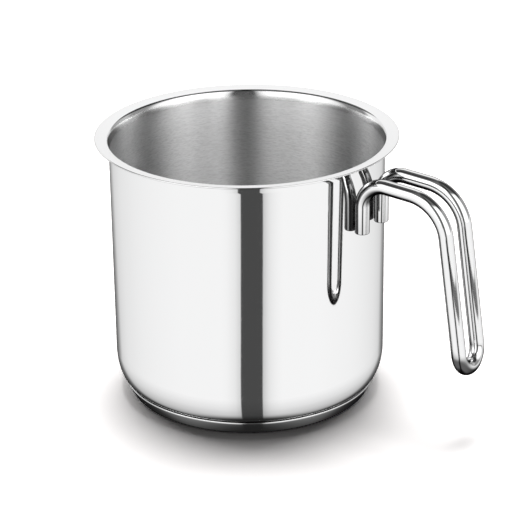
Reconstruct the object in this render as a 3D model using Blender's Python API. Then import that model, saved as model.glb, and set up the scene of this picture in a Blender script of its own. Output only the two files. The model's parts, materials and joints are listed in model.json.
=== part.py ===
"""Milk pan: a tall one-handed pot of drawn stainless steel with a capsule base and a bent rod handle.

The pan's axis is +Z, the table is z = 0 and the handle points along +X. Lengths are metres.
"""

import math

import bmesh
import bpy
from mathutils import Matrix, Vector

MM = 0.001

# Fits
FIT_GAP = 0.3 * MM                # left between pieces that are welded or pressed together

# Pan shell, deep-drawn from one sheet
PAN_HEIGHT = 140.0 * MM           # from the table to the highest edge of the lip
WALL_RADIUS = 70.7 * MM           # outside of the wall where the lip starts to flare
WALL_DRAFT = 0.2 * MM             # how much narrower the wall is where the bottom corner starts
SHELL_SHEET = 0.8 * MM
CORNER_WIDTH = 6.5 * MM           # the bottom corner is a tall quarter ellipse
CORNER_HEIGHT = 16.4 * MM
LIP_OVERHANG = 7.2 * MM           # from the wall's outside to the lip's edge
LIP_BEND_WIDTH = 1.6 * MM         # the wall sweeps out into the lip on a tall quarter ellipse
LIP_BEND_HEIGHT = 4.4 * MM
LIP_RISE = 0.8 * MM               # how much higher the lip's edge is than its bend

# Capsule base, an aluminium disc pressed into a steel cap
CAP_SHEET = 0.4 * MM
CAP_LAP = 0.35 * MM               # how far the cap's rim reaches up past the pan's underside
CAP_LEAN = math.radians(28)       # how far the cap's side leans out from the vertical
CAP_FOOT_RADIUS = 3.0 * MM        # rounds the flat contact face into the side
CORE_THICKNESS = 6.5 * MM

# Handle, one round rod bent double
ROD_DIAMETER = 7.5 * MM
ROD_END_ROUNDING = 0.5 * MM
LEG_SPACING = 18.9 * MM           # between the centre lines of the two legs
HANDLE_DROP = 8.3 * MM            # from the lip's edge down to the crown line, at the wall
WELD_LEG_LENGTH = 27.7 * MM       # from the crown line down to the rod's ends
GRIP_STANDOFF = 44.9 * MM         # from the rod at the wall out to the grip's upper corner
GRIP_LENGTH = 79.0 * MM           # from the grip's upper corner down to the return bend
CROWN_BEND_RADIUS = 12.5 * MM     # centre line radius where the rod leaves the wall
GRIP_BEND_RADIUS = 22.0 * MM      # centre line radius where the crown turns down into the grip
CROWN_FALL = math.radians(4.3)    # how far the crown points below the horizontal
GRIP_SPLAY = math.radians(7.9)    # how far the grip leans out from the vertical

# Weld nuggets, two behind each end of the rod
NUGGET_RADIUS = 1.7 * MM
NUGGET_HALF_THICKNESS = 0.6 * MM
NUGGET_PLACE_SHARES = (0.25, 0.75)    # of the straight stretch that lies on the wall

# Finishes
MIRROR_ROUGHNESS = 0.06
SATIN_ROUGHNESS = 0.32
TURNED_ROUGHNESS = 0.18
ALUMINIUM_ROUGHNESS = 0.45
WELD_ROUGHNESS = 0.5
STEEL_COLOUR = (0.80, 0.80, 0.79, 1.0)
ALUMINIUM_COLOUR = (0.77, 0.78, 0.79, 1.0)
WELD_COLOUR = (0.52, 0.51, 0.50, 1.0)

# Facets
TURN_STEPS = 92
CORNER_STEPS = 9
FOOT_STEPS = 5
LIP_BEND_STEPS = 5
LIP_EDGE_STEPS = 6
ROD_SIDES = 16
BEND_STEPS = 9
ROUNDING_STEPS = 2
NUGGET_SIDES = 12
NUGGET_RINGS = 6
SHARP_ANGLE = math.radians(35)
MERGE_DISTANCE = 0.01 * MM

# Worked out from the sizes above
QUARTER_TURN = math.pi / 2
CORE_FLOOR = CAP_SHEET + FIT_GAP
SHELL_FLOOR = CORE_FLOOR + CORE_THICKNESS + FIT_GAP
CAP_HEIGHT = SHELL_FLOOR + CAP_LAP
CORNER_TOP = SHELL_FLOOR + CORNER_HEIGHT
CORNER_CENTRE = WALL_RADIUS - WALL_DRAFT - CORNER_WIDTH
LIP_RADIUS = WALL_RADIUS + LIP_OVERHANG
LIP_BEND_CENTRE = WALL_RADIUS + LIP_BEND_WIDTH
LIP_SLOPE = math.asin(LIP_RISE / (LIP_OVERHANG - LIP_BEND_WIDTH))
LIP_BEND_FLOOR = PAN_HEIGHT - LIP_RISE - SHELL_SHEET - LIP_BEND_HEIGHT

ROD_RADIUS = ROD_DIAMETER / 2
LEG_OFFSET = LEG_SPACING / 2
ROD_FROM_AXIS = WALL_RADIUS + FIT_GAP + ROD_RADIUS    # measured square to the wall
ROD_BEARING = math.asin(LEG_OFFSET / ROD_FROM_AXIS)   # of a leg at the wall, from the handle's plane
ROD_AT_WALL = ROD_FROM_AXIS * math.cos(ROD_BEARING)
CROWN_LINE = PAN_HEIGHT - HANDLE_DROP
ROD_END = CROWN_LINE - WELD_LEG_LENGTH
CROWN_TURN = QUARTER_TURN + CROWN_FALL
GRIP_TURN = QUARTER_TURN - CROWN_FALL - GRIP_SPLAY
CROWN_SETBACK = CROWN_BEND_RADIUS * math.tan(CROWN_TURN / 2)
GRIP_SETBACK = GRIP_BEND_RADIUS * math.tan(GRIP_TURN / 2)
WELD_STRAIGHT = WELD_LEG_LENGTH - CROWN_SETBACK
CROWN_STRAIGHT = GRIP_STANDOFF / math.cos(CROWN_FALL) - CROWN_SETBACK - GRIP_SETBACK
GRIP_STRAIGHT = GRIP_LENGTH - GRIP_SETBACK


def remove_scene_objects():
    for item in list(bpy.data.objects):
        bpy.data.objects.remove(item, do_unlink=True)


def metal(name, colour, roughness):
    material = bpy.data.materials.new(name)
    material.use_nodes = True
    shader = material.node_tree.nodes["Principled BSDF"]
    shader.inputs["Base Color"].default_value = colour
    shader.inputs["Metallic"].default_value = 1.0
    shader.inputs["Roughness"].default_value = roughness
    return material


def add_object(name, shape, *materials):
    """Turn a finished bmesh into a named object with smooth round faces and crisp corners."""
    mesh = bpy.data.meshes.new(name)
    bmesh.ops.recalc_face_normals(shape, faces=shape.faces)
    shape.to_mesh(mesh)
    shape.free()
    mesh.shade_smooth()
    mesh.set_sharp_from_angle(angle=SHARP_ANGLE)
    for material in materials:
        mesh.materials.append(material)
    item = bpy.data.objects.new(name, mesh)
    bpy.context.scene.collection.objects.link(item)
    return item


def arc(centre, radii, start, end, steps):
    """Points of an ellipse's arc, from the start angle to the end angle."""
    angles = [start + (end - start) * step / steps for step in range(steps + 1)]
    return [(centre[0] + radii[0] * math.cos(angle), centre[1] + radii[1] * math.sin(angle))
            for angle in angles]


def turned(outline):
    """Spin an outline of (radius, height) points, whose ends lie on the axis, into a closed body."""
    shape = bmesh.new()
    points = [shape.verts.new((radius, 0, height)) for radius, height in outline]
    edges = [shape.edges.new(pair) for pair in zip(points, points[1:])]
    bmesh.ops.spin(shape, geom=points + edges, cent=(0, 0, 0), axis=(0, 0, 1),
                   angle=math.tau, steps=TURN_STEPS, use_merge=True, use_duplicate=False)
    bmesh.ops.remove_doubles(shape, verts=shape.verts, dist=MERGE_DISTANCE)
    return shape


def shell_skin(inset):
    """The pan's profile from the axis to the lip, set in by part of the sheet's thickness."""
    bend_width = LIP_BEND_WIDTH + inset
    bend_height = LIP_BEND_HEIGHT + inset
    bend_end = QUARTER_TURN + math.atan(math.tan(LIP_SLOPE) * bend_width / bend_height)
    skin = [(0, SHELL_FLOOR + inset)]
    skin += arc((CORNER_CENTRE, CORNER_TOP), (CORNER_WIDTH - inset, CORNER_HEIGHT - inset),
                -QUARTER_TURN, 0, CORNER_STEPS)
    skin += arc((LIP_BEND_CENTRE, LIP_BEND_FLOOR), (bend_width, bend_height),
                math.pi, bend_end, LIP_BEND_STEPS)
    return skin


def lip_edge():
    """The rounded edge of the lip, from its underside to its top."""
    half = SHELL_SHEET / 2
    middle = (LIP_RADIUS - half, PAN_HEIGHT - half)
    return arc(middle, (half, half), LIP_SLOPE - QUARTER_TURN, LIP_SLOPE + QUARTER_TURN, LIP_EDGE_STEPS)


def make_pan_shell(polished, satin):
    outline = shell_skin(0) + lip_edge() + shell_skin(SHELL_SHEET)[::-1]
    shape = turned(outline)
    bmesh.ops.recalc_face_normals(shape, faces=shape.faces)
    bowl_middle = Vector((0, 0, (SHELL_FLOOR + PAN_HEIGHT) / 2))
    for face in shape.faces:
        faces_bowl = face.normal.dot(bowl_middle - face.calc_center_median()) > 0
        face.material_index = 1 if faces_bowl else 0
    return add_object("pan_shell", shape, polished, satin)


def seat_radius(height):
    """Radius at a height where a neighbour clears the pan's bottom corner by the fit's gap."""
    drop_share = (CORNER_TOP - height) / (CORNER_HEIGHT + FIT_GAP)
    return CORNER_CENTRE + (CORNER_WIDTH + FIT_GAP) * math.sqrt(1 - drop_share ** 2)


def cap_side_radius(inset, height):
    """Radius of the cap's leaning side at a height, set in from its outside."""
    rim = seat_radius(CAP_HEIGHT) + CAP_SHEET / math.cos(CAP_LEAN)
    return rim - (CAP_HEIGHT - height) * math.tan(CAP_LEAN) - inset / math.cos(CAP_LEAN)


def cap_skin(inset, top):
    """The base cap's profile from the axis up to a height, set in from its outside."""
    foot_centre = (cap_side_radius(CAP_FOOT_RADIUS, CAP_FOOT_RADIUS), CAP_FOOT_RADIUS)
    foot_radius = CAP_FOOT_RADIUS - inset
    foot = arc(foot_centre, (foot_radius, foot_radius), -QUARTER_TURN, -CAP_LEAN, FOOT_STEPS)
    return [(0, inset)] + foot + [(cap_side_radius(inset, top), top)]


def make_base_cap(material):
    outline = cap_skin(0, CAP_HEIGHT) + cap_skin(CAP_SHEET, CAP_HEIGHT)[::-1]
    return add_object("base_cap", turned(outline), material)


def make_base_core(material):
    """The disc fills the cap up to the flat underside of the pan."""
    top = SHELL_FLOOR - FIT_GAP
    return add_object("base_core", turned(cap_skin(CORE_FLOOR, top) + [(0, top)]), material)


class RodBender:
    """Grows a round rod the way a bending machine makes it, by straight feeds and bends."""

    def __init__(self, start, heading):
        self.place = Vector(start)
        self.heading = Vector(heading)
        self.shape = bmesh.new()
        turn = Vector((0, 0, 1)).rotation_difference(self.heading).to_matrix().to_4x4()
        bmesh.ops.create_circle(self.shape, cap_ends=True, segments=ROD_SIDES, radius=ROD_RADIUS,
                                matrix=Matrix.Translation(self.place) @ turn)
        self.front = list(self.shape.edges)
        self.first_edges = list(self.shape.edges)

    def feed(self, length):
        grown = bmesh.ops.extrude_edge_only(self.shape, edges=self.front)["geom"]
        corners = [item for item in grown if isinstance(item, bmesh.types.BMVert)]
        bmesh.ops.translate(self.shape, verts=corners, vec=self.heading * length)
        self.front = [item for item in grown if isinstance(item, bmesh.types.BMEdge)]
        self.place = self.place + self.heading * length

    def bend(self, towards, radius, angle, steps):
        axis = self.heading.cross(towards).normalized()
        centre = self.place + axis.cross(self.heading) * radius
        grown = bmesh.ops.spin(self.shape, geom=self.front, cent=centre, axis=axis,
                               angle=angle, steps=steps, use_merge=False, use_duplicate=False)
        self.front = [item for item in grown["geom_last"] if isinstance(item, bmesh.types.BMEdge)]
        turn = Matrix.Rotation(angle, 3, axis)
        self.place = centre + turn @ (self.place - centre)
        self.heading = turn @ self.heading


def bent_rod():
    """One half of the rod, from its welded end to the middle of the return bend, then mirrored."""
    rod = RodBender((ROD_AT_WALL, LEG_OFFSET, ROD_END), (0, 0, 1))
    rod.feed(WELD_STRAIGHT)
    rod.bend(Vector((1, 0, 0)), CROWN_BEND_RADIUS, CROWN_TURN, BEND_STEPS)
    rod.feed(CROWN_STRAIGHT)
    rod.bend(Vector((0, 0, -1)), GRIP_BEND_RADIUS, GRIP_TURN, BEND_STEPS)
    rod.feed(GRIP_STRAIGHT)
    rod.bend(Vector((0, -1, 0)), LEG_OFFSET, QUARTER_TURN, BEND_STEPS)
    bmesh.ops.bevel(rod.shape, geom=rod.first_edges, offset=ROD_END_ROUNDING, affect="EDGES",
                    segments=ROUNDING_STEPS, profile=0.5, material=-1)
    bmesh.ops.mirror(rod.shape, geom=rod.shape.verts[:] + rod.shape.edges[:] + rod.shape.faces[:],
                     axis="Y", merge_dist=MERGE_DISTANCE)
    return rod.shape


def lens(growth):
    """One weld nugget about its own centre, grown by a clearance where it cuts its socket."""
    shape = bmesh.new()
    flatten = Matrix.Diagonal((NUGGET_HALF_THICKNESS + growth, NUGGET_RADIUS + growth,
                               NUGGET_RADIUS + growth, 1))
    across = Matrix.Rotation(QUARTER_TURN, 4, "Y")
    bmesh.ops.create_uvsphere(shape, u_segments=NUGGET_SIDES, v_segments=NUGGET_RINGS,
                              radius=1, matrix=flatten @ across)
    return shape


def make_weld(name, bearing, height, rod, material):
    """Seat a nugget between the wall and the rod, in a shallow socket with the fit's gap round it."""
    from_axis = WALL_RADIUS + FIT_GAP + NUGGET_HALF_THICKNESS
    nugget = add_object(name, lens(0), material)
    cutter = add_object(name + "_socket", lens(FIT_GAP), material)
    for item in (nugget, cutter):
        item.location = (from_axis * math.cos(bearing), from_axis * math.sin(bearing), height)
        item.rotation_euler.z = bearing
    cutter.hide_render = True
    cutter.display_type = "WIRE"
    socket = rod.modifiers.new(name + " socket", "BOOLEAN")
    socket.operation = "DIFFERENCE"
    socket.solver = "EXACT"
    socket.object = cutter


def make_handle(polished, weld):
    rod = add_object("handle_rod", bent_rod(), polished)
    for side, bearing in (("right", -ROD_BEARING), ("left", ROD_BEARING)):
        for level, share in zip(("lower", "upper"), NUGGET_PLACE_SHARES):
            height = ROD_END + WELD_STRAIGHT * share
            make_weld(f"weld_nugget_{side}_{level}", bearing, height, rod, weld)


def main():
    remove_scene_objects()
    make_pan_shell(metal("Mirror polished steel", STEEL_COLOUR, MIRROR_ROUGHNESS),
                   metal("Satin steel", STEEL_COLOUR, SATIN_ROUGHNESS))
    make_base_core(metal("Pressed aluminium", ALUMINIUM_COLOUR, ALUMINIUM_ROUGHNESS))
    make_base_cap(metal("Turned steel", STEEL_COLOUR, TURNED_ROUGHNESS))
    make_handle(metal("Polished rod steel", STEEL_COLOUR, MIRROR_ROUGHNESS),
                metal("Fused weld steel", WELD_COLOUR, WELD_ROUGHNESS))


main()
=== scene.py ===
# %% [markdown]
# A milk pan, from frame to finish
#
# The real pan is a tall cup drawn from one steel sheet, with a flared lip that pours on every side, a
# heavy capsule base and a handle bent from one polished rod. The measured solids of those pieces are
# loaded first and stay where they are. Everything after that is looks: finer meshes on the same sizes, and
# finishes.

# %% Load the measured pieces
import json
import math

import bmesh
import bpy
from mathutils import Euler, Matrix, Vector

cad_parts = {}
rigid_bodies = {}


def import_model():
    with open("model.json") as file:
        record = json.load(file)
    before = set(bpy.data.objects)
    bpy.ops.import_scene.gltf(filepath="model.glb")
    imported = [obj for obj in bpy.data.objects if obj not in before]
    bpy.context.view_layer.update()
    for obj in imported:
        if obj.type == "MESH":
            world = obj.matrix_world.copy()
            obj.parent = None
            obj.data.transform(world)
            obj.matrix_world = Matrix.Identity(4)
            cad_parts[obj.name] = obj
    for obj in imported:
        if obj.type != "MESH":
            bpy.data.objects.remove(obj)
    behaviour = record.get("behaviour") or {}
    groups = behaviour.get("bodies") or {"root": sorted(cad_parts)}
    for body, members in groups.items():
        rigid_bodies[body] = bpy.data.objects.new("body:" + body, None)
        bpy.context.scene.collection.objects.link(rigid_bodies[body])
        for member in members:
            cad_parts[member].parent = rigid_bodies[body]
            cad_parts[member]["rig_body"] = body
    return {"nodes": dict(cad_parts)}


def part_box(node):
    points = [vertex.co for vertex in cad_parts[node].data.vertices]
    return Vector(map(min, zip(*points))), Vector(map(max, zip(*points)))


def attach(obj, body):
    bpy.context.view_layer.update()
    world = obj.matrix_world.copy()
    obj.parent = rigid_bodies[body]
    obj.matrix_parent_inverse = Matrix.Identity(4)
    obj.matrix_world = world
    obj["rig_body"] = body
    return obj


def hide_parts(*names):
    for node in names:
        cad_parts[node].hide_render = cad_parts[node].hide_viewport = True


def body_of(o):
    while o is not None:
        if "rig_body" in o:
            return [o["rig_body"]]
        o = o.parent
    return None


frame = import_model()

MM = 0.001
QUARTER_TURN = math.pi / 2
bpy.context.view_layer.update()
print("pieces in the frame:", ", ".join(sorted(frame["nodes"])))

# %% [markdown]
# The camera
#
# The picture was taken from a little above the lip with a long lens, so the ellipses stay nearly parallel.
# The handle points to the right and slightly towards the viewer. A camera is three things here: where it
# stands on a circle round the pan, what it looks at, and three small turns for a photographer who didn't
# level it exactly.

# %% Place the camera
CAMERA_BEARING = math.radians(33.4)       # from the -Y side towards the handle
CAMERA_HEIGHT_ANGLE = math.radians(22.85)
CAMERA_DISTANCE = 1209.6 * MM
CAMERA_AIM_HEIGHT = 72 * MM
CAMERA_LENS = 160.36                      # millimetres of focal length, on the sensor below
CAMERA_SENSOR = 36.0
CAMERA_PAN = math.radians(-0.282)
CAMERA_TILT = math.radians(-0.110)
CAMERA_ROLL = math.radians(0.844)

TOWARDS_CAMERA = Vector((math.sin(CAMERA_BEARING), -math.cos(CAMERA_BEARING), 0))
CAMERA_RIGHT = Vector((math.cos(CAMERA_BEARING), math.sin(CAMERA_BEARING), 0))


def place_camera():
    back = TOWARDS_CAMERA * math.cos(CAMERA_HEIGHT_ANGLE) + Vector((0, 0, math.sin(CAMERA_HEIGHT_ANGLE)))
    aim = Euler((QUARTER_TURN - CAMERA_HEIGHT_ANGLE, 0, CAMERA_BEARING)).to_matrix()
    small_turns = (Matrix.Rotation(CAMERA_PAN, 3, "Y") @ Matrix.Rotation(CAMERA_TILT, 3, "X")
                   @ Matrix.Rotation(-CAMERA_ROLL, 3, "Z"))
    data = bpy.data.cameras.new("camera")
    data.lens = CAMERA_LENS
    data.sensor_width = CAMERA_SENSOR
    camera = bpy.data.objects.new("camera", data)
    camera.location = Vector((0, 0, CAMERA_AIM_HEIGHT)) + back * CAMERA_DISTANCE
    camera.rotation_euler = (aim @ small_turns).to_euler()
    bpy.context.scene.collection.objects.link(camera)
    bpy.context.scene.camera = camera
    return camera


camera = place_camera()
print("camera at, mm:", [round(value / MM) for value in camera.location])

# %% [markdown]
# A short way to write shader nodes
#
# Every finish below is a node tree. Clicking one together in the editor is easy, and in a script it soon
# hides what matters. So one helper adds a node, sets its options and wires its inputs in one go. An input
# is a socket of another node, or a plain value. The others are short names for the few nodes that come up
# again and again.

# %% Helpers for node trees
def set_inputs(tree, node, inputs):
    for key, value in inputs.items():
        if isinstance(value, bpy.types.NodeSocket):
            tree.links.new(value, node.inputs[key])
        else:
            node.inputs[key].default_value = value


def put(tree, kind, inputs=None, **options):
    """A new node with its options set and its inputs wired."""
    node = tree.nodes.new("ShaderNode" + kind)
    for name, value in options.items():
        setattr(node, name, value)
    set_inputs(tree, node, inputs or {})
    return node


def calc(tree, operation, *values):
    """One step of arithmetic on numbers or sockets."""
    return put(tree, "Math", dict(enumerate(values)), operation=operation).outputs[0]


def choose(tree, share, first, second):
    """The first value where the share is 0, the second where it is 1, and a blend between."""
    return put(tree, "Mix", {0: share, 2: first, 3: second}, data_type="FLOAT").outputs[0]


def fade(tree, value, low, high, start=0.0, end=1.0, linear=False):
    """A smooth or straight step from start to end while value goes from low to high."""
    inputs = {"Value": value, "From Min": low, "From Max": high, "To Min": start, "To Max": end}
    return put(tree, "MapRange", inputs, interpolation_type="LINEAR" if linear else "SMOOTHSTEP").outputs[0]


def parts_of(tree, vector):
    """The X, Y and Z of a vector."""
    return put(tree, "SeparateXYZ", {0: vector}).outputs


def along(tree, vector, direction):
    """How far a vector reaches in a direction."""
    return put(tree, "VectorMath", {0: vector, 1: direction}, operation="DOT_PRODUCT").outputs["Value"]


def reach_from_axis(tree, place):
    """How far a place is from the pan's axis."""
    flat = put(tree, "VectorMath", {0: place, 1: (1, 1, 0)}, operation="MULTIPLY").outputs[0]
    return put(tree, "VectorMath", {0: flat}, operation="LENGTH").outputs["Value"]


def grey(tree, level):
    return put(tree, "CombineColor", {0: level, 1: level, 2: level}).outputs[0]


print("first helpers:", put.__name__, calc.__name__, fade.__name__)

# %% [markdown]
# The studio, light by direction
#
# Polished steel has no colour of its own to speak of: what shows is the room in it. A photographer puts
# such a pan in a tent of white cloth and leaves dark gaps in it, because the dark lines are what draw the
# shape. So the studio here is brightness by direction, written as ramps of grey. Most run over the
# bearing, which goes round the pan from the camera to the right. The others run over the angle above the
# ground.

# %% Ramps over a number, a bearing and a height
DEGREES_ROUND = 360
DEGREES_DOWN_TO_UP = 180


def levels(tree, value, stops):
    """A ramp of grey levels over a value between 0 and 1."""
    ramp = put(tree, "ValToRGB", {0: value})
    elements = ramp.color_ramp.elements
    while len(elements) < len(stops):
        elements.new(1.0)
    for element, (position, level) in zip(elements, stops):
        element.position = position
        element.color = (level, level, level, 1.0)
    return ramp.outputs[0]


def by_bearing(tree, vector, stops, unit=1.0):
    """A ramp round the pan, over degrees from the camera to the right."""
    angle = calc(tree, "ARCTAN2", along(tree, vector, CAMERA_RIGHT), along(tree, vector, TOWARDS_CAMERA))
    turn_share = calc(tree, "MULTIPLY_ADD", angle, 1 / math.tau, 0.5)
    shares = [(degrees / DEGREES_ROUND + 0.5, level * unit) for degrees, level in stops]
    return levels(tree, turn_share, shares)


def by_height(tree, height, stops):
    """A ramp from straight down to straight up, over degrees above the ground."""
    turn_share = calc(tree, "MULTIPLY_ADD", height, 1 / math.pi, 0.5)
    shares = [(degrees / DEGREES_DOWN_TO_UP + 0.5, level) for degrees, level in stops]
    return levels(tree, turn_share, shares)


print("ramps run over", DEGREES_ROUND, "degrees of bearing and", DEGREES_DOWN_TO_UP, "of height")

# %% [markdown]
# The tent
#
# Above the horizon the steel sees the tent's walls, with two dark gaps at the sides and a narrow one over
# the camera, up to a dark opening at the top. That opening is the dark line round the bowl, just inside
# the lip. The bowl is rough enough to gather light from high up, and the panels left and right of the
# camera are brightest for it.

# %% The tent's panels and its open top
TENT_PANELS = [                           # degrees of bearing, and how bright the wall is there
    (-180, 1.07), (-158, 1.07), (-150, 1.0), (-124, 1.0), (-116, 0.25), (-94, 0.25), (-84, 0.90),
    (-60, 1.5), (-22, 1.5), (-13, 0.90), (-7, 0.10), (12, 0.10), (16, 0.90), (24, 1.5), (62, 1.5),
    (82, 1.0), (93, 0.3), (112, 0.3), (120, 0.6), (146, 0.35), (152, 1.07), (180, 1.07),
]
BRIGHTEST = 1.5                           # the ramps hold nothing over 1, so levels are shares of this
TENT_TOPS = [                             # degrees of bearing, and how many degrees up the wall ends
    (-180, 58), (-164, 50), (-150, 26), (-118, 24), (-100, 34), (-82, 48), (-60, 50), (5, 52), (60, 55),
    (82, 50), (98, 34), (118, 24), (138, 24), (150, 26), (160, 58), (180, 58),
]
DEGREES_STRAIGHT_UP = 90
TOP_EDGE = (math.radians(-2), math.radians(6))      # the soft edge of the opening, from below to above
OPENING_LEVEL = 0.10


def tent_light(tree, direction, height, again):
    """Brightness above the horizon. A ray that was mirrored again sees the top closed."""
    tent_top = by_bearing(tree, direction, TENT_TOPS, 1 / DEGREES_STRAIGHT_UP)
    tent_top = calc(tree, "MULTIPLY", tent_top, QUARTER_TURN)
    over_top = calc(tree, "SUBTRACT", height, tent_top)
    open_top = calc(tree, "MAXIMUM", fade(tree, over_top, *TOP_EDGE, 1.0, OPENING_LEVEL), again)
    return calc(tree, "MULTIPLY", by_bearing(tree, direction, TENT_PANELS, 1 / BRIGHTEST), open_top)


print("panels in the tent:", len(TENT_PANELS), "with", len(TENT_TOPS), "heights of its top")

# %% [markdown]
# The dark strip
#
# A strip of black card stands between the pan and the camera. In an upright wall it is one dark stripe.
# Its two sides are soft on the outside and sharp on the inside. A steep ray points less towards the
# camera, so the strip is drawn narrower there, and the stripe keeps its width where the wall curves in to
# the base.

# %% The strip towards the camera
STRIP = [                                 # reach to the right of its middle, and how much light is left
    (-0.42, 1.0), (-0.34, 0.98), (-0.26, 0.915), (-0.22, 0.875), (-0.18, 0.775), (-0.152, 0.73),
    (-0.144, 0.055), (0.141, 0.055), (0.150, 0.62), (0.171, 0.68), (0.198, 0.765), (0.236, 0.855),
    (0.273, 0.905), (0.311, 0.94), (0.35, 0.97), (0.42, 1.0),
]
STRIP_DRIFT_FROM = (math.radians(-27.0), 0.017)     # the strip's middle low down, towards the foot
STRIP_DRIFT_TO = (math.radians(-22.2), 0.056)       # and from here up
STRIP_NARROWING = 0.5                     # the share of its width that follows a ray's reach forwards
STRIP_NARROWEST = 0.1


def strip_shade(tree, direction, height):
    """What the strip leaves of the light. Rays that point away from the camera don't meet it."""
    from_height, from_drift = STRIP_DRIFT_FROM
    to_height, to_drift = STRIP_DRIFT_TO
    drift = fade(tree, height, from_height, to_height, from_drift, to_drift, linear=True)
    beside = calc(tree, "SUBTRACT", along(tree, direction, CAMERA_RIGHT), drift)
    forward = along(tree, direction, TOWARDS_CAMERA)
    narrowing = calc(tree, "MULTIPLY_ADD", forward, STRIP_NARROWING / math.cos(CAMERA_HEIGHT_ANGLE),
                     1 - STRIP_NARROWING)
    beside = calc(tree, "DIVIDE", beside, calc(tree, "MAXIMUM", narrowing, STRIP_NARROWEST))
    strip = levels(tree, calc(tree, "ADD", beside, 0.5), [(place + 0.5, level) for place, level in STRIP])
    return calc(tree, "MAXIMUM", strip, calc(tree, "LESS_THAN", forward, 0.0))


print("the strip reaches from", STRIP[0][0], "to", STRIP[-1][0], "of a ray's length")

# %% [markdown]
# The light from below the horizon
#
# Upright steel seen from above mirrors what lies lower than the horizon, which is the brightly lit ground
# round the pan. It is dark far below and behind the pan. That draws a dark line along both sides of the
# wall, where steel mirrors what lies behind it, and it darkens the bottom corner, which looks steeply
# down.

# %% The ground's panels and the dark behind
GROUND_PANELS = [                         # degrees of bearing, and how bright the ground is there
    (-180, 0.90), (-120, 0.92), (-87, 0.97), (-60, 1.0), (60, 1.01), (93, 0.98), (129, 0.92), (180, 0.90),
]
BEHIND_AND_BELOW = math.radians(48.6)     # how far below the horizon the dark is centred
DARK_BACK = [                             # how close a ray points to that centre, and the light left
    (0.5, 1.0), (0.70, 0.99), (0.76, 0.95), (0.80, 0.90), (0.82, 0.80), (0.84, 0.55), (0.875, 0.24),
    (0.92, 0.10), (0.98, 0.03),
]
STEEP = (math.radians(-84), math.radians(-60))      # between these the ground gets darker towards the pan
STEEP_LEVEL = 0.05


def ground_light(tree, direction, height):
    """Brightness below the horizon."""
    back = Vector((0, 0, -math.sin(BEHIND_AND_BELOW))) - TOWARDS_CAMERA * math.cos(BEHIND_AND_BELOW)
    ground = calc(tree, "MULTIPLY", by_bearing(tree, direction, GROUND_PANELS, 1 / BRIGHTEST),
                  levels(tree, along(tree, direction, back), DARK_BACK))
    ground = calc(tree, "MULTIPLY", ground, strip_shade(tree, direction, height))
    return calc(tree, "MULTIPLY", ground, fade(tree, height, *STEEP, STEEP_LEVEL, 1.0))


print("panels round the ground:", len(GROUND_PANELS))

# %% [markdown]
# Mirrored twice or more
#
# A ray that leaves the bowl has often met its wall twice. Each meeting turns the bearing by a fixed
# amount, so the bearing it leaves by says where on the wall it started. The bright and dark stretches
# below are set by that: dark towards the camera and the back, bright at the sides, which gives the bowl
# its soft upright bands. Low rays are those that were caught between the handle's rods and the wall, and
# they stay dark.

# %% What a second glance sees
AGAIN_BY_HEIGHT = [                       # degrees up, and what two reflections or more leave of the light
    (-90, 0.04), (-52, 0.05), (-40, 0.20), (5, 0.27), (20, 0.90), (32, 1.0), (50, 0.90), (75, 0.65),
]
AGAIN_PANELS = [                          # the same by bearing
    (-180, 0.06), (-162, 0.08), (-146, 0.75), (-134, 1.0), (-105, 1.0), (-60, 0.75), (-38, 0.45),
    (-22, 0.15), (-10, 0.06), (12, 0.06), (22, 0.15), (38, 0.45), (60, 0.75), (105, 1.0), (134, 1.0),
    (146, 0.75), (162, 0.08), (180, 0.06),
]
AGAIN_BRIGHTEST = 3.6
THIRD_GLANCE = 0.16                       # what the third reflection and the later ones leave of that
AFTER_ONE = 1.5                           # between the depths of a ray mirrored once and one mirrored twice
AFTER_TWO = 2.5


def glance_share(tree, direction, height, depth, again):
    """A share of the light, which is 1 for rays that were mirrored once."""
    glance = calc(tree, "MULTIPLY", by_height(tree, height, AGAIN_BY_HEIGHT),
                  by_bearing(tree, direction, AGAIN_PANELS))
    glance = calc(tree, "MULTIPLY", glance, AGAIN_BRIGHTEST)
    third = calc(tree, "GREATER_THAN", depth, AFTER_TWO)
    glance = calc(tree, "MULTIPLY", glance, choose(tree, third, 1.0, THIRD_GLANCE))
    return choose(tree, again, 1.0, glance)


print("panels for a second glance:", len(AGAIN_PANELS))

# %% [markdown]
# Light the world
#
# The tent above the horizon and the ground below it make one world, and a second glance sees its share of
# both. Only reflections see any of it, which the Light Path node tells. The camera itself sees plain white
# behind the pan, and surfaces that aren't polished get a little light from all round.

# %% Build the world
DIFFUSE_FILL = 0.09


def light_studio():
    world = bpy.data.worlds.new("studio")
    bpy.context.scene.world = world
    world.use_nodes = True
    world.cycles.sampling_method = "NONE"
    tree = world.node_tree
    tree.nodes.clear()
    direction = put(tree, "TexCoord").outputs["Generated"]
    height = calc(tree, "ARCSINE", parts_of(tree, direction)["Z"])
    path = put(tree, "LightPath").outputs
    again = calc(tree, "GREATER_THAN", path["Glossy Depth"], AFTER_ONE)
    seen = choose(tree, calc(tree, "LESS_THAN", height, 0.0), tent_light(tree, direction, height, again),
                  ground_light(tree, direction, height))
    seen = calc(tree, "MULTIPLY", seen, BRIGHTEST)
    seen = calc(tree, "MULTIPLY", seen, glance_share(tree, direction, height, path["Glossy Depth"], again))
    strength = calc(tree, "MULTIPLY", seen, path["Is Glossy Ray"])
    strength = calc(tree, "ADD", strength, path["Is Camera Ray"])
    strength = calc(tree, "ADD", strength, path["Is Transmission Ray"])
    strength = calc(tree, "MULTIPLY_ADD", path["Is Diffuse Ray"], DIFFUSE_FILL, strength)
    glow = put(tree, "Background", {"Color": (1, 1, 1, 1), "Strength": strength})
    put(tree, "OutputWorld", {"Surface": glow.outputs[0]})
    return world


world = light_studio()
print("nodes in the studio's world:", len(world.node_tree.nodes))

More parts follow.
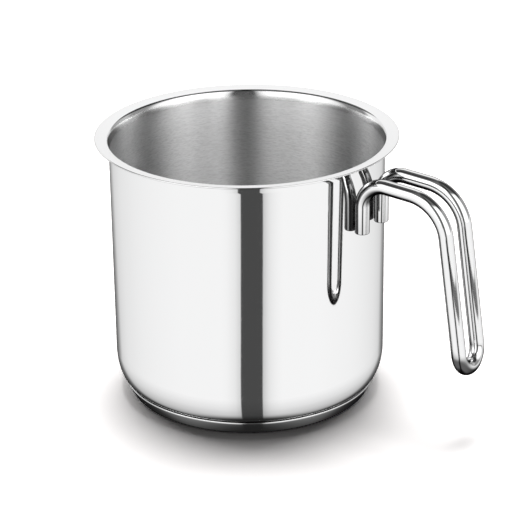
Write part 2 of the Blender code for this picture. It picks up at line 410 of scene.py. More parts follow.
# %% [markdown]
# Sizes
#
# A size that the measured solids already have is read from their boxes, so the finer meshes can't drift
# away from them. The few that a box doesn't tell, such as the sheet's thickness and the shape of the
# bends, are written here in millimetres.

# %% Sizes read from the frame, and the rest
shell_low, shell_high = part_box("pan_shell")
cap_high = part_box("base_cap")[1]
rod_low, rod_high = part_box("handle_rod")

PAN_HEIGHT = shell_high.z
LIP_RADIUS = shell_high.y
SHELL_FLOOR = shell_low.z
SHELL_SHEET = 0.8 * MM
LIP_OVERHANG = 7.2 * MM
LIP_BEND_WIDTH = 1.6 * MM
LIP_BEND_HEIGHT = 4.4 * MM
LIP_RISE = 0.8 * MM
WALL_DRAFT = 0.2 * MM
CORNER_WIDTH = 6.5 * MM
CORNER_HEIGHT = 16.4 * MM
WALL_RADIUS = LIP_RADIUS - LIP_OVERHANG

CAP_RADIUS = cap_high.y
CAP_HEIGHT = cap_high.z
CAP_SHEET = 0.4 * MM
CAP_LEAN = math.radians(28)
CAP_FOOT_RADIUS = 3.0 * MM
CAP_RIM_HEIGHT = 0.65 * MM
CAP_EDGE_ROUNDING = 0.2 * MM
FOOT_RADIUS = (CAP_RADIUS - (CAP_HEIGHT - CAP_RIM_HEIGHT - CAP_FOOT_RADIUS) * math.tan(CAP_LEAN)
               - CAP_FOOT_RADIUS / math.cos(CAP_LEAN))

TURN_STEPS = 256
MERGE_DISTANCE = 0.002 * MM
print(f"lip {LIP_RADIUS / MM:.1f}, wall {WALL_RADIUS / MM:.1f}, cap {CAP_RADIUS / MM:.1f} mm from the axis")

# %% [markdown]
# The lamps
#
# Two suns cast the shadow, and neither shows in the steel. A small one hangs nearly overhead and a little
# behind, so the shadow pools in front of the base. A very wide one stands behind the pan like a wall of
# light, and lets the shadow fade within two fingers' width at the sides.

# %% Hang the lamps
LAMPS = {                                 # how far from overhead to the back, how wide, how strong
    "small_lamp": (math.radians(5), math.radians(20), 0.42 * math.pi),
    "wall_of_light": (math.radians(58), math.radians(104), 1.05 * math.pi),
}


def hang_lamp(name, tilt, width, strength):
    data = bpy.data.lights.new(name, "SUN")
    data.angle = width
    data.energy = strength
    lamp = bpy.data.objects.new(name, data)
    shines = -Vector((0, 0, math.cos(tilt))) + TOWARDS_CAMERA * math.sin(tilt)
    lamp.rotation_euler = shines.to_track_quat("-Z", "Y").to_euler()
    lamp.visible_glossy = False
    bpy.context.scene.collection.objects.link(lamp)


for name, (tilt, width, strength) in LAMPS.items():
    hang_lamp(name, tilt, width, strength)
print("lamps:", ", ".join(LAMPS))

# %% [markdown]
# The table
#
# The pan stands on white paper. The paper is brighter to the camera than to the pan, as on a photograph
# whose background is burnt out to white. In the steel it acts as a stencil: a mirrored ray goes through it
# to the studio, dimmed where something dark lies. That is the pan's own shadow round its foot, and at the
# right a dark runner, which the grip mirrors as a dark line. A little stray light keeps dark reflections
# off black.

# %% Lay the table
TABLE_REACH = 3000 * MM
TABLE_DROP = 0.15 * MM                    # keeps the table's face clear of the base's
TABLE_COLOUR = Vector((0.92, 0.92, 0.92))
TABLE_SEEN = Vector((1.54, 1.508, 1.502)) # a touch warm, which only its shadow shows
RUNNER_INNER = (415 * MM, 450 * MM)       # where the runner's two soft edges start and end
RUNNER_OUTER = (540 * MM, 600 * MM)
RUNNER_SIDES = [(-180, 0.0), (-4, 0.0), (10, 1.0), (62, 1.0), (88, 0.0), (180, 0.0)]
RUNNER_SHADE = 0.15
VEIL = 0.018                              # the stray light
VEIL_NEAR_FOOT = 0.2                      # and no more than this share of what the foot's shadow leaves
UNDER_BASE = 0.45                         # light on the contact face, for a look at it from below
FOOT_SHADE = 48 * MM                      # how far the pan's shadow reaches in the steel
FOOT_LEVELS = [
    (0.0, 0.02), (0.03, 0.05), (0.06, 0.08), (0.10, 0.13), (0.13, 0.17), (0.165, 0.29), (0.20, 0.45),
    (0.25, 0.55), (0.33, 0.66), (0.42, 0.74), (0.50, 0.82), (0.60, 0.875), (0.80, 0.955), (1.0, 1.0),
]


def paper_in_steel(tree, place):
    """What a mirrored ray meets: a stencil with the foot's shadow and the runner, and the stray light."""
    reach = reach_from_axis(tree, place)
    foot = levels(tree, fade(tree, reach, FOOT_RADIUS, FOOT_RADIUS + FOOT_SHADE, linear=True), FOOT_LEVELS)
    runner = calc(tree, "MULTIPLY", by_bearing(tree, place, RUNNER_SIDES), fade(tree, reach, *RUNNER_INNER))
    runner = calc(tree, "MULTIPLY", runner, fade(tree, reach, *RUNNER_OUTER, 1.0, 0.0))
    stencil = calc(tree, "MULTIPLY", foot, fade(tree, runner, 0.0, 1.0, 1.0, RUNNER_SHADE))
    through = put(tree, "BsdfTransparent", {"Color": grey(tree, stencil)})
    under_base = calc(tree, "LESS_THAN", reach, FOOT_RADIUS)
    veil = calc(tree, "MINIMUM", VEIL, calc(tree, "MULTIPLY", foot, VEIL_NEAR_FOOT))
    stray = put(tree, "Emission", {"Strength": calc(tree, "MULTIPLY_ADD", under_base, UNDER_BASE, veil)})
    return put(tree, "AddShader", {0: through.outputs[0], 1: stray.outputs[0]}).outputs[0]


def make_white_paper():
    material = bpy.data.materials.new("white_table")
    material.use_nodes = True
    tree = material.node_tree
    tree.nodes.clear()
    path = put(tree, "LightPath").outputs
    burnt_out = put(tree, "VectorMath", {0: TABLE_SEEN - TABLE_COLOUR, "Scale": path["Is Camera Ray"]},
                    operation="SCALE").outputs[0]
    paper = put(tree, "VectorMath", {0: burnt_out, 1: TABLE_COLOUR}, operation="ADD").outputs[0]
    lit = put(tree, "BsdfDiffuse", {"Color": paper}).outputs[0]
    mirrored = paper_in_steel(tree, put(tree, "TexCoord").outputs["Object"])
    shown = put(tree, "MixShader", {0: path["Is Glossy Ray"], 1: lit, 2: mirrored}).outputs[0]
    from_below = put(tree, "NewGeometry").outputs["Backfacing"]
    clear = put(tree, "BsdfTransparent").outputs[0]
    one_sided = put(tree, "MixShader", {0: from_below, 1: shown, 2: clear}).outputs[0]
    put(tree, "OutputMaterial", {"Surface": one_sided})
    return material


def lay_table(material):
    mesh = bpy.data.meshes.new("table")
    shape = bmesh.new()
    bmesh.ops.create_grid(shape, x_segments=1, y_segments=1, size=TABLE_REACH,
                          matrix=Matrix.Translation((0, 0, -TABLE_DROP)))
    shape.to_mesh(mesh)
    shape.free()
    mesh.materials.append(material)
    table = bpy.data.objects.new("table", mesh)
    bpy.context.scene.collection.objects.link(table)


lay_table(make_white_paper())
print("table:", 2 * TABLE_REACH, "m wide")

# %% [markdown]
# How the picture is worked out
#
# The Standard view shows colours about as they are written. A ray may be mirrored eight times, because
# rays in the bowl and between the rods are. Light that the steel throws onto the paper would only be
# speckle here.

# %% View and bounces
GLOSSY_BOUNCES = 8

bpy.context.scene.view_settings.view_transform = "Standard"
bpy.context.scene.cycles.caustics_reflective = False
bpy.context.scene.cycles.glossy_bounces = GLOSSY_BOUNCES
print("a ray may be mirrored", GLOSSY_BOUNCES, "times")

# %% [markdown]
# Turning a profile
#
# The shell and the cap are bodies of revolution. On a lathe, or a spinning bench, one profile makes the
# whole form, and Blender's spin operator does the same: a few vertices joined by edges go round the axis.
# A full turn needs use_merge, so that the last step closes on the first. Round stretches of a profile are
# arcs of an ellipse, and nothing is drawn point by point.

# %% Profile and lathe helpers
def arc(centre, radii, start, end, steps):
    """Points of an ellipse's arc, from the start angle to the end angle."""
    angles = [start + (end - start) * step / steps for step in range(steps + 1)]
    return [(centre[0] + radii[0] * math.cos(angle), centre[1] + radii[1] * math.sin(angle))
            for angle in angles]


def turned(outline):
    shape = bmesh.new()
    points = [shape.verts.new((radius, 0, height)) for radius, height in outline]
    edges = [shape.edges.new(pair) for pair in zip(points, points[1:])]
    bmesh.ops.spin(shape, geom=points + edges, cent=(0, 0, 0), axis=(0, 0, 1),
                   angle=math.tau, steps=TURN_STEPS, use_merge=True, use_duplicate=False)
    bmesh.ops.remove_doubles(shape, verts=shape.verts, dist=MERGE_DISTANCE)
    bmesh.ops.recalc_face_normals(shape, faces=shape.faces)
    return shape


def add_piece(name, shape, materials, replaced):
    """Make an object of a finished bmesh that rides on the pan and stands for a measured solid."""
    mesh = bpy.data.meshes.new(name)
    shape.to_mesh(mesh)
    shape.free()
    mesh.shade_smooth()
    for material in materials:
        mesh.materials.append(material)
    piece = bpy.data.objects.new(name, mesh)
    bpy.context.scene.collection.objects.link(piece)
    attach(piece, body_of(frame["nodes"][replaced])[0])
    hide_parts(replaced)
    reach = [round(value / MM, 1) for value in piece.dimensions]
    print(f"{name}: {len(mesh.polygons)} faces, {reach} mm")
    return piece


print("a full turn takes", TURN_STEPS, "steps")

# %% [markdown]
# Node groups
#
# An effect that several materials share is built once, as a node group with named inputs and outputs, and
# then placed in each material with its own values. Two helpers do that here: one starts a group, the other
# places it.

# %% Helpers for node groups
def new_group(name, inputs, output):
    """A node group with named inputs and one number as its output, and the nodes for its two ends."""
    tree = bpy.data.node_groups.new(name, "ShaderNodeTree")
    for title, kind, value in inputs:
        socket = tree.interface.new_socket(title, in_out="INPUT", socket_type="NodeSocket" + kind)
        if value is not None:
            socket.default_value = value
    tree.interface.new_socket(output, in_out="OUTPUT", socket_type="NodeSocketFloat")
    return tree, tree.nodes.new("NodeGroupInput").outputs, tree.nodes.new("NodeGroupOutput").inputs


def use_group(tree, group, inputs):
    node = tree.nodes.new("ShaderNodeGroup")
    node.node_tree = group
    set_inputs(tree, node, inputs)
    return node.outputs[0]


print("group helpers:", new_group.__name__, use_group.__name__)

# %% [markdown]
# Brush strokes
#
# The inside of the bowl is brushed on a lathe: a belt leaves thousands of short strokes that all run round
# the pan. A noise does this if it is squeezed hard across the strokes and stretched along them. Across a
# stroke the surface climbs, on the floor outwards and on the wall upwards, so distance from the axis plus
# height gives one number that climbs everywhere. Along the strokes plain x and y serve, and no seam shows.

# %% Brush strokes as a node group
def make_brush_group():
    tree, given, result = new_group(
        "Brush strokes",
        [("Place", "Vector", None), ("Stroke Length", "Float", 4 * MM),
         ("Stroke Width", "Float", 0.3 * MM)],
        "Strokes")
    axes = parts_of(tree, given["Place"])
    climb = calc(tree, "ADD", reach_from_axis(tree, given["Place"]), axes["Z"])
    squeezed = put(tree, "CombineXYZ", {
        "X": calc(tree, "DIVIDE", axes["X"], given["Stroke Length"]),
        "Y": calc(tree, "DIVIDE", axes["Y"], given["Stroke Length"]),
        "Z": calc(tree, "DIVIDE", climb, given["Stroke Width"])}).outputs[0]
    noise = put(tree, "TexNoise", {"Vector": squeezed, "Scale": 1.0, "Detail": 3.0, "Roughness": 0.6})
    tree.links.new(noise.outputs["Fac"], result["Strokes"])
    return tree


brush_strokes = make_brush_group()
print("group:", brush_strokes.name)

# %% [markdown]
# Hairline scratches
#
# Even a polished pan has a few hairlines from the cloth. They run every way, so the same squeezed noise is
# laid down three times, each turned differently, and only its highest ridges are kept.

# %% Hairline scratches as a node group
HAIRLINE_TURNS = ((0.3, 0.2, 0.5), (1.1, 0.9, 2.1), (2.0, 1.7, 3.9))
HAIRLINE_RIDGES = (0.70, 0.78)


def make_hairline_group():
    tree, given, result = new_group(
        "Hairline scratches",
        [("Place", "Vector", None), ("Length", "Float", 20 * MM), ("Width", "Float", 0.2 * MM),
         ("Share", "Float", 0.3)],
        "Scratches")
    total = 0.0
    for turn in HAIRLINE_TURNS:
        turned_place = put(tree, "VectorRotate", {"Vector": given["Place"], "Rotation": turn},
                           rotation_type="EULER_XYZ").outputs[0]
        axes = parts_of(tree, turned_place)
        squeezed = put(tree, "CombineXYZ", {
            "X": calc(tree, "DIVIDE", axes["X"], given["Length"]),
            "Y": calc(tree, "DIVIDE", axes["Y"], given["Length"]),
            "Z": calc(tree, "DIVIDE", axes["Z"], given["Width"])}).outputs[0]
        noise = put(tree, "TexNoise", {"Vector": squeezed, "Scale": 1.0, "Detail": 1.0}).outputs["Fac"]
        total = calc(tree, "MAXIMUM", total, fade(tree, noise, *HAIRLINE_RIDGES))
    tree.links.new(calc(tree, "MULTIPLY", total, given["Share"]), result["Scratches"])
    return tree


hairlines = make_hairline_group()
print("group:", hairlines.name)

# %% [markdown]
# Polished steel
#
# All the steels are one metal: a Principled shader with full Metallic. What differs is mostly how rough the
# surface is, and how that changes from place to place. The wall is buffed to a mirror that keeps a trace
# of the strokes under it, a few hairlines, and a swell too shallow to feel, which makes long reflections
# waver. The cap's leaning side is polished less. Specular Tint is how bright the metal gets where it is
# seen edge on.

# %% Mirror polish for the wall and the cap
STEEL = (0.885, 0.886, 0.888, 1.0)
BUFFED_STROKES = {"Stroke Length": 30 * MM, "Stroke Width": 0.6 * MM}
BUFFED_RANGE = (0.35, 0.75)               # of the noise, over which the haze grows
HAZE_SPREAD = (0.8, 1.3)                  # times the roughness that is asked for
HAIRLINE_SHARE = 0.05
SWELLS_PER_METRE = 45.0


def start_steel(name):
    material = bpy.data.materials.new(name)
    material.use_nodes = True
    tree = material.node_tree
    shader = tree.nodes["Principled BSDF"]
    shader.inputs["Metallic"].default_value = 1.0
    shader.inputs["Base Color"].default_value = STEEL
    return material, tree, shader, put(tree, "TexCoord").outputs["Object"]


def make_polished_steel(name, roughness, swell_depth, edge_tint):
    material, tree, shader, place = start_steel(name)
    shader.inputs["Specular Tint"].default_value = (edge_tint, edge_tint, edge_tint, 1.0)
    strokes = use_group(tree, brush_strokes, {"Place": place, **BUFFED_STROKES})
    scratches = use_group(tree, hairlines, {"Place": place, "Share": HAIRLINE_SHARE})
    haze = fade(tree, strokes, *BUFFED_RANGE, roughness * HAZE_SPREAD[0], roughness * HAZE_SPREAD[1])
    tree.links.new(calc(tree, "ADD", haze, scratches), shader.inputs["Roughness"])
    swell = put(tree, "TexNoise", {"Vector": place, "Scale": SWELLS_PER_METRE, "Detail": 1.0})
    bump = put(tree, "Bump", {"Height": swell.outputs["Fac"], "Distance": swell_depth, "Strength": 1.0})
    tree.links.new(bump.outputs[0], shader.inputs["Normal"])
    return material


polished_wall = make_polished_steel("polished_wall", roughness=0.045, swell_depth=0.02 * MM, edge_tint=0.85)
polished_cap = make_polished_steel("polished_cap", roughness=0.09, swell_depth=0.02 * MM, edge_tint=0.5)
print("mirror finishes:", polished_wall.name, polished_cap.name)

# %% [markdown]
# The rod's steel
#
# The rod is polished nearly as well as the wall, and its swell is deeper. Where it faces down it mirrors
# something dark, which one studio can't give to it and to the wall at once. So a painted dark reflection
# darkens its underside's colour by the way it faces, and more so round the return bend.

# %% Polished rod with a painted dark reflection on its underside
UNDERSIDE_PAINTED_REFLECTION = [                             # which way a face points, from 0 down to 1 up, and the colour level of the painted reflection
    (0.0, 0.12), (0.25, 0.12), (0.30, 0.13), (0.35, 0.25), (0.41, 0.60), (0.475, 0.93), (0.50, 1.0),
]
RETURN_BEND = (9 * MM, 18 * MM)           # above the rod's lowest point, where the painted reflection goes from darkest to no darker
RETURN_BEND_TURN = 0.18                   # by how much its faces count as turned down there, for the painted reflection


def make_rod_steel():
    material = make_polished_steel("polished_rod", roughness=0.05, swell_depth=0.04 * MM, edge_tint=0.1)
    tree = material.node_tree
    given = put(tree, "TexCoord").outputs
    facing_up = calc(tree, "MULTIPLY_ADD", parts_of(tree, given["Normal"])["Z"], 0.5, 0.5)
    height = parts_of(tree, given["Object"])["Z"]
    bend_low, bend_high = (rod_low.z + rise for rise in RETURN_BEND)
    at_bend = fade(tree, height, bend_low, bend_high, RETURN_BEND_TURN, 0.0)
    facing_up = calc(tree, "SUBTRACT", facing_up, at_bend)
    # The steel's base colour is multiplied by the painted dark reflection, darker where a face points down.
    painted_dark_reflection = put(tree, "Mix", {0: 1.0, 6: STEEL, 7: levels(tree, facing_up, UNDERSIDE_PAINTED_REFLECTION)}, data_type="RGBA",
               blend_type="MULTIPLY").outputs[2]
    tree.links.new(painted_dark_reflection, tree.nodes["Principled BSDF"].inputs["Base Color"])
    return material


polished_rod = make_rod_steel()
print("rod finish:", polished_rod.name)

# %% [markdown]
# The contact face
#
# The flat face that stands on the hob is faced on a lathe, so it is a set of fine rings and not a mirror.
# The brush strokes' group makes them too, with strokes so long that they close into rings.

# %% Turned rings
RING_STROKES = {"Stroke Length": 60 * MM, "Stroke Width": 0.7 * MM}
RING_RANGE = (0.35, 0.65)
RING_SHADE = (0.70, 1.0)


def make_turned_face():
    material = make_polished_steel("turned_face", roughness=0.30, swell_depth=0.01 * MM, edge_tint=0.5)
    tree = material.node_tree
    place = put(tree, "TexCoord").outputs["Object"]
    rings = use_group(tree, brush_strokes, {"Place": place, **RING_STROKES})
    shade = fade(tree, rings, *RING_RANGE, *RING_SHADE)
    tree.links.new(grey(tree, shade), tree.nodes["Principled BSDF"].inputs["Base Color"])
    return material


turned_face = make_turned_face()
print("contact face finish:", turned_face.name)

# %% [markdown]
# The brushed bowl
#
# Brushed steel smears its glints across the strokes and hardly along them. Here the strokes run round the
# bowl, so the smear runs up and down, which is what the Anisotropic value does. A Tangent node that
# circles the axis tells it which way is along the strokes, and a quarter of a turn of Anisotropic Rotation
# sets the smear across them. The belt doesn't reach the lip, so the polish fades into the brushing below
# the bend.

# %% Brushed finish
BRUSHING_DEPTH = 22 * MM                  # how far below the lip the brushing reaches its full strength
BRUSHING_LEVELS = [(0.0, 0.0), (0.10, 0.02), (0.20, 0.30), (0.30, 0.55), (0.50, 0.80), (1.0, 1.0)]
FINE_STROKES = {"Stroke Length": 2.4 * MM, "Stroke Width": 0.3 * MM}
BROAD_STROKES = {"Stroke Length": 8 * MM, "Stroke Width": 0.5 * MM}
BROAD_SHARE = 0.35
ROUGHNESS_RANGE = (0.3, 0.7)              # of the noise, over which the roughness grows
BRUSHED_ROUGHNESS = (0.42, 0.52)
UNBRUSHED_ROUGHNESS = 0.10
SHADE_RANGE = (0.38, 0.60)
BRUSHED_SHADE = (0.80, 1.0)
UNBRUSHED_SHADE = 0.92
BOWL_EDGE_TINT = 0.5


def make_brushed_bowl():
    material, tree, shader, place = start_steel("brushed_bowl")
    fine = use_group(tree, brush_strokes, {"Place": place, **FINE_STROKES})
    broad = use_group(tree, brush_strokes, {"Place": place, **BROAD_STROKES})
    strokes = calc(tree, "MULTIPLY_ADD", broad, BROAD_SHARE, calc(tree, "MULTIPLY", fine, 1 - BROAD_SHARE))
    height = parts_of(tree, place)["Z"]
    depth = fade(tree, height, PAN_HEIGHT - BRUSHING_DEPTH, PAN_HEIGHT, 1.0, 0.0, linear=True)
    brushed = levels(tree, depth, BRUSHING_LEVELS)
    rough = fade(tree, strokes, *ROUGHNESS_RANGE, *BRUSHED_ROUGHNESS)
    rough = choose(tree, brushed, UNBRUSHED_ROUGHNESS, rough)
    shade = fade(tree, strokes, *SHADE_RANGE, *BRUSHED_SHADE)
    shade = choose(tree, brushed, UNBRUSHED_SHADE, shade)
    tree.links.new(rough, shader.inputs["Roughness"])
    tree.links.new(grey(tree, shade), shader.inputs["Base Color"])
    shader.inputs["Specular Tint"].default_value = (BOWL_EDGE_TINT, BOWL_EDGE_TINT, BOWL_EDGE_TINT, 1.0)
    shader.inputs["Anisotropic"].default_value = 1.0
    shader.inputs["Anisotropic Rotation"].default_value = 0.25
    tangent = put(tree, "Tangent", direction_type="RADIAL", axis="Z").outputs[0]
    tree.links.new(tangent, shader.inputs["Tangent"])
    return material


brushed_bowl = make_brushed_bowl()
print("bowl finish:", brushed_bowl.name)

# %% [markdown]
# The shell
#
# A press draws the cup from a flat disc in a few strokes, so its sheet is nearly even: the inside of the
# profile follows the outside at one thickness. The bottom corner is a tall ellipse and the lip flares out
# over a tight one. The lip's edge is rolled smooth, so nobody cuts a finger. Faces that look into the bowl
# get the brushed finish, and so does the top of the lip, which lies above the brushing and so stays
# polished.

# %% Model the shell
CORNER_STEPS = 24
LIP_BEND_STEPS = 24
LIP_EDGE_STEPS = 12
CORNER_TOP = SHELL_FLOOR + CORNER_HEIGHT
CORNER_CENTRE = WALL_RADIUS - WALL_DRAFT - CORNER_WIDTH
LIP_BEND_CENTRE = WALL_RADIUS + LIP_BEND_WIDTH
LIP_SLOPE = math.asin(LIP_RISE / (LIP_OVERHANG - LIP_BEND_WIDTH))
LIP_BEND_FLOOR = PAN_HEIGHT - LIP_RISE - SHELL_SHEET - LIP_BEND_HEIGHT


def shell_skin(inset):
    """The shell's profile from the axis to the lip, set in by part of the sheet's thickness."""
    width = LIP_BEND_WIDTH + inset
    height = LIP_BEND_HEIGHT + inset
    bend_end = QUARTER_TURN + math.atan(math.tan(LIP_SLOPE) * width / height)
    return ([(0, SHELL_FLOOR + inset)]
            + arc((CORNER_CENTRE, CORNER_TOP), (CORNER_WIDTH - inset, CORNER_HEIGHT - inset),
                  -QUARTER_TURN, 0, CORNER_STEPS)
            + arc((LIP_BEND_CENTRE, LIP_BEND_FLOOR), (width, height), math.pi, bend_end, LIP_BEND_STEPS))


def lip_edge():
    half = SHELL_SHEET / 2
    middle = (LIP_RADIUS - half, PAN_HEIGHT - half)
    return arc(middle, (half, half), LIP_SLOPE - QUARTER_TURN, LIP_SLOPE + QUARTER_TURN, LIP_EDGE_STEPS)


def make_shell():
    shape = turned(shell_skin(0) + lip_edge() + shell_skin(SHELL_SHEET)[::-1])
    bowl_middle = Vector((0, 0, (SHELL_FLOOR + PAN_HEIGHT) / 2))
    for face in shape.faces:
        middle = face.calc_center_median()
        on_lip = middle.z > PAN_HEIGHT - SHELL_SHEET / 2
        if on_lip or face.normal.dot(bowl_middle - middle) > 0:
            face.material_index = 1
    return add_piece("drawn_shell", shape, [polished_wall, brushed_bowl], "pan_shell")


make_shell()

# %% [markdown]
# The base cap
#
# A shallow steel cap is pressed over the aluminium core and holds it against the pan. Its side leans in to
# the foot. Its rim is trimmed to a narrow upright edge, which catches the light as one thin bright line
# above the dark side. The flat face below gets the turned rings.

# %% Model the base cap
FOOT_STEPS = 12
RIM_ROUNDING_STEPS = 3
RIM_TOLERANCE = 0.02 * MM


def cap_side_radius(inset, height):
    """Radius of the leaning side at a height, set in from its outside."""
    below_rim = CAP_HEIGHT - CAP_RIM_HEIGHT - height
    return CAP_RADIUS - below_rim * math.tan(CAP_LEAN) - inset / math.cos(CAP_LEAN)


def cap_skin(inset):
    foot_centre = (cap_side_radius(CAP_FOOT_RADIUS, CAP_FOOT_RADIUS), CAP_FOOT_RADIUS)
    foot_radius = CAP_FOOT_RADIUS - inset
    foot = arc(foot_centre, (foot_radius, foot_radius), -QUARTER_TURN, -CAP_LEAN, FOOT_STEPS)
    rim = (cap_side_radius(inset, CAP_HEIGHT - CAP_RIM_HEIGHT), CAP_HEIGHT - CAP_RIM_HEIGHT)
    return [(0, inset)] + foot + [rim, (rim[0], CAP_HEIGHT)]


def is_rim_edge(edge):
    """Whether an edge runs level round the outside of the upright rim."""
    level = abs(edge.verts[0].co.z - edge.verts[1].co.z) < MERGE_DISTANCE
    return level and min(vert.co.xy.length for vert in edge.verts) > CAP_RADIUS - RIM_TOLERANCE


def make_cap():
    shape = turned(cap_skin(0) + cap_skin(CAP_SHEET)[::-1])
    rim = [edge for edge in shape.edges if is_rim_edge(edge)]
    bmesh.ops.bevel(shape, geom=rim, offset=CAP_EDGE_ROUNDING, affect="EDGES",
                    segments=RIM_ROUNDING_STEPS, profile=0.5, material=-1)
    print("edges rounded at the cap's rim:", len(rim))
    for face in shape.faces:
        if face.calc_center_median().z < MERGE_DISTANCE:
            face.material_index = 1
    return add_piece("pressed_cap", shape, [polished_cap, turned_face], "base_cap")


make_cap()

# %% [markdown]
# A rod bender
#
# One rod makes the whole handle. A bending machine feeds the rod and bends it in turn, and the code does
# the same: extruding the front ring is a feed, and spinning it is a bend. Each starts where the last one
# ended and points the same way, so straights and bends always meet smoothly.

# %% Feeds and bends
ROD_RADIUS = 3.75 * MM
ROD_SIDES = 48
BEND_STEPS = 32


class RodBender:
    """Grows a round rod by straight feeds and bends."""

    def __init__(self, start, heading):
        self.place = Vector(start)
        self.heading = Vector(heading)
        self.shape = bmesh.new()
        turn = Vector((0, 0, 1)).rotation_difference(self.heading).to_matrix().to_4x4()
        bmesh.ops.create_circle(self.shape, cap_ends=True, segments=ROD_SIDES, radius=ROD_RADIUS,
                                matrix=Matrix.Translation(self.place) @ turn)
        self.front = list(self.shape.edges)
        self.end_ring = list(self.shape.edges)

    def feed(self, length):
        grown = bmesh.ops.extrude_edge_only(self.shape, edges=self.front)["geom"]
        corners = [item for item in grown if isinstance(item, bmesh.types.BMVert)]
        bmesh.ops.translate(self.shape, verts=corners, vec=self.heading * length)
        self.front = [item for item in grown if isinstance(item, bmesh.types.BMEdge)]
        self.place = self.place + self.heading * length

    def bend(self, towards, radius, angle):
        axis = self.heading.cross(towards).normalized()
        centre = self.place + axis.cross(self.heading) * radius
        grown = bmesh.ops.spin(self.shape, geom=self.front, cent=centre, axis=axis,
                               angle=angle, steps=BEND_STEPS, use_merge=False, use_duplicate=False)
        self.front = [item for item in grown["geom_last"] if isinstance(item, bmesh.types.BMEdge)]
        turn = Matrix.Rotation(angle, 3, axis)
        self.place = centre + turn @ (self.place - centre)
        self.heading = turn @ self.heading


print("the rod has", ROD_SIDES, "sides and", BEND_STEPS, "steps in each bend")

# %% [markdown]
# The handle
#
# The rod starts welded to the wall, runs up, bends out under the lip, bends down into the grip, turns back
# on itself and comes up again. Only one half is bent, and mirror makes the other, which closes the return
# bend. The grip leans out a little, so that knuckles stay clear of the hot wall.

# %% Bend the handle
ROD_END_ROUNDING = 0.5 * MM
ROD_END_STEPS = 4
LEG_OFFSET = rod_high.y - ROD_RADIUS
ROD_AT_WALL = rod_low.x + ROD_RADIUS
CROWN_DROP = 8.3 * MM                     # from the lip's top down to the rod's line where it leaves the wall
WELD_LEG_LENGTH = 27.7 * MM
CROWN_LINE = PAN_HEIGHT - CROWN_DROP
ROD_END = CROWN_LINE - WELD_LEG_LENGTH
GRIP_STANDOFF = 44.86 * MM
GRIP_LENGTH = 79.0 * MM
CROWN_BEND_RADIUS = 12.5 * MM
GRIP_BEND_RADIUS = 22.0 * MM
CROWN_FALL = math.radians(4.3)
GRIP_SPLAY = math.radians(7.9)
CROWN_TURN = QUARTER_TURN + CROWN_FALL
GRIP_TURN = QUARTER_TURN - CROWN_FALL - GRIP_SPLAY
CROWN_SETBACK = CROWN_BEND_RADIUS * math.tan(CROWN_TURN / 2)
GRIP_SETBACK = GRIP_BEND_RADIUS * math.tan(GRIP_TURN / 2)


def make_rod():
    rod = RodBender((ROD_AT_WALL, LEG_OFFSET, ROD_END), (0, 0, 1))
    rod.feed(CROWN_LINE - ROD_END - CROWN_SETBACK)
    rod.bend(Vector((1, 0, 0)), CROWN_BEND_RADIUS, CROWN_TURN)
    rod.feed(GRIP_STANDOFF / math.cos(CROWN_FALL) - CROWN_SETBACK - GRIP_SETBACK)
    rod.bend(Vector((0, 0, -1)), GRIP_BEND_RADIUS, GRIP_TURN)
    rod.feed(GRIP_LENGTH - GRIP_SETBACK)
    rod.bend(Vector((0, -1, 0)), LEG_OFFSET, QUARTER_TURN)
    bmesh.ops.bevel(rod.shape, geom=rod.end_ring, offset=ROD_END_ROUNDING, affect="EDGES",
                    segments=ROD_END_STEPS, profile=0.5, material=-1)
    bmesh.ops.mirror(rod.shape, geom=rod.shape.verts[:] + rod.shape.edges[:] + rod.shape.faces[:],
                     axis="Y", merge_dist=MERGE_DISTANCE)
    bmesh.ops.recalc_face_normals(rod.shape, faces=rod.shape.faces)
    return add_piece("bent_rod", rod.shape, [polished_rod], "handle_rod")


make_rod()

# %% [markdown]
# The welds
#
# Each rod end is joined to the wall by two spot welds. The welder squeezes a lens of melted steel between
# the two, and it keeps the grainy skin that it froze with. A sphere pressed flat makes it, and the
# measured nugget says where it sits, which way it faces and how flat it is.

# %% Weld nuggets
NUGGET_SIDES = 48
NUGGET_RINGS = 24
GRAINS_PER_METRE = 2600.0
GRAIN_RANGE = (0.3, 0.7)
GRAIN_ROUGHNESS = (0.38, 0.60)
GRAIN_DEPTH = 0.04 * MM
GRAIN_BUMP = 0.6
WELD_DARK = (0.30, 0.27, 0.25, 1.0)
WELD_LIGHT = (0.62, 0.61, 0.60, 1.0)


def two_tone(tree, value, dark, light):
    """A ramp between two colours, linked to the steel's base colour."""
    tone = put(tree, "ValToRGB", {0: value})
    tone.color_ramp.elements[0].color = dark
    tone.color_ramp.elements[1].color = light
    tree.links.new(tone.outputs[0], tree.nodes["Principled BSDF"].inputs["Base Color"])


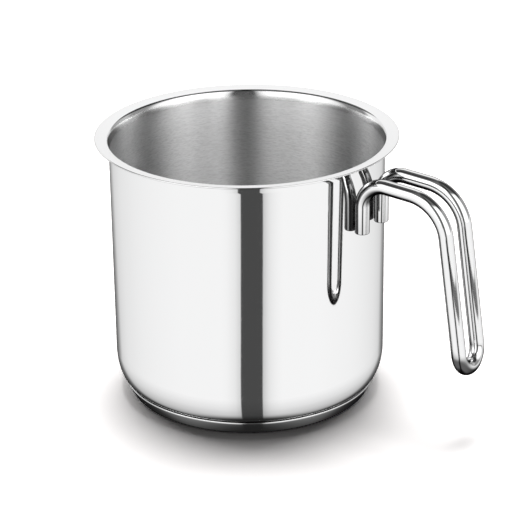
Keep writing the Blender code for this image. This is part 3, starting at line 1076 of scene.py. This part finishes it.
def make_frozen_weld():
    material, tree, shader, place = start_steel("frozen_weld")
    noise = put(tree, "TexNoise", {"Vector": place, "Scale": GRAINS_PER_METRE, "Detail": 3.0})
    grain = noise.outputs["Fac"]
    two_tone(tree, grain, WELD_DARK, WELD_LIGHT)
    tree.links.new(fade(tree, grain, *GRAIN_RANGE, *GRAIN_ROUGHNESS), shader.inputs["Roughness"])
    bump = put(tree, "Bump", {"Height": grain, "Distance": GRAIN_DEPTH, "Strength": GRAIN_BUMP})
    tree.links.new(bump.outputs[0], shader.inputs["Normal"])
    return material


def press_nugget(node, name):
    """A flattened bead in the box of a measured nugget, turned to face the wall as that one is."""
    measured = frame["nodes"][node]
    low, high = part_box(node)
    middle = (low + high) / 2
    across = Vector((middle.x, middle.y, 0)).normalized()
    half_width = (high.z - low.z) / 2
    half_thickness = max((measured.matrix_world @ vert.co - middle).dot(across)
                         for vert in measured.data.vertices)
    up = Vector((0, 0, 1))
    facing = Matrix((across, up.cross(across), up)).transposed().to_4x4()
    flatten = Matrix.Diagonal((half_thickness, half_width, half_width, 1))
    shape = bmesh.new()
    bmesh.ops.create_uvsphere(shape, u_segments=NUGGET_SIDES, v_segments=NUGGET_RINGS, radius=1,
                              matrix=Matrix.Translation(middle) @ facing @ flatten)
    return add_piece(name, shape, [frozen_weld], node)


frozen_weld = make_frozen_weld()
for node in sorted(frame["nodes"]):
    if node.startswith("weld_nugget"):
        press_nugget(node, node.replace("weld_nugget", "fused_spot"))

# %% [markdown]
# The aluminium core
#
# The core is the only piece that stays as it was loaded. It is closed in between the pan and the cap, so
# it needs no finer mesh, only the dull finish of a blank that was rolled and pressed.

# %% Finish the core
ROLLING_STROKES = {"Stroke Length": 20 * MM, "Stroke Width": 0.5 * MM}
ROLLING_RANGE = (0.3, 0.7)
ALUMINIUM_ROUGHNESS = (0.28, 0.42)
ALUMINIUM_DARK = (0.70, 0.71, 0.72, 1.0)
ALUMINIUM_LIGHT = (0.84, 0.85, 0.86, 1.0)


def make_pressed_aluminium():
    material, tree, shader, place = start_steel("pressed_aluminium")
    strokes = use_group(tree, brush_strokes, {"Place": place, **ROLLING_STROKES})
    two_tone(tree, strokes, ALUMINIUM_DARK, ALUMINIUM_LIGHT)
    tree.links.new(fade(tree, strokes, *ROLLING_RANGE, *ALUMINIUM_ROUGHNESS), shader.inputs["Roughness"])
    return material


pressed_aluminium = make_pressed_aluminium()
for slot in frame["nodes"]["base_core"].material_slots:
    slot.material = pressed_aluminium
print("the core keeps its measured mesh and gets", pressed_aluminium.name)
